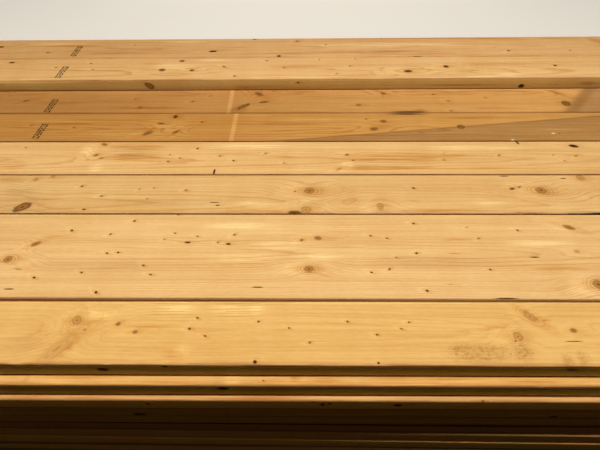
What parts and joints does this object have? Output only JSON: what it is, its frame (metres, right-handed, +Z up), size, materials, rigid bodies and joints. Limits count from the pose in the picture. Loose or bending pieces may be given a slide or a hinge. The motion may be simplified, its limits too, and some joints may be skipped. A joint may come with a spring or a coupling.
{
  "type": "stack of lumber",
  "caption": "Stack of planed softwood framing boards in close-laid tiers, with a part tier of boards at the rear of its top.",
  "frame": {"origin": "on the floor, on the underside of the bottom tier, at the middle of the boards' length", "axes": "+X along the boards, +Y from the front of the stack to its back, +Z up"},
  "size_m": [2.4646, 1.2818, 0.608],
  "materials": {
    "planed_softwood": "planed, unfinished, dry",
    "stained_softwood": "planed, darkened by water and dust",
    "shaded_softwood": "planed, unfinished, aged a little on its edges"
  },
  "bodies": {
    "root": {"tier_01": "shaded_softwood", "tier_02": "shaded_softwood", "tier_03": "shaded_softwood", "tier_04": "shaded_softwood", "tier_05": "shaded_softwood", "tier_06": "shaded_softwood", "tier_07": "shaded_softwood", "tier_08": "shaded_softwood", "tier_09": "shaded_softwood", "tier_10": "shaded_softwood", "tier_11": "shaded_softwood", "tier_12": "shaded_softwood", "tier_13": "shaded_softwood", "tier_14": "shaded_softwood", "tier_15_board_1": "planed_softwood", "tier_15_board_2": "planed_softwood", "tier_15_board_3": "planed_softwood", "tier_15_board_4": "planed_softwood", "tier_15_board_5": "stained_softwood", "tier_15_board_6": "stained_softwood", "tier_15_board_7": "planed_softwood", "tier_15_board_8": "planed_softwood", "tier_16_front_board": "planed_softwood", "tier_16_rear_board": "planed_softwood"}
  },
  "joints": []
}
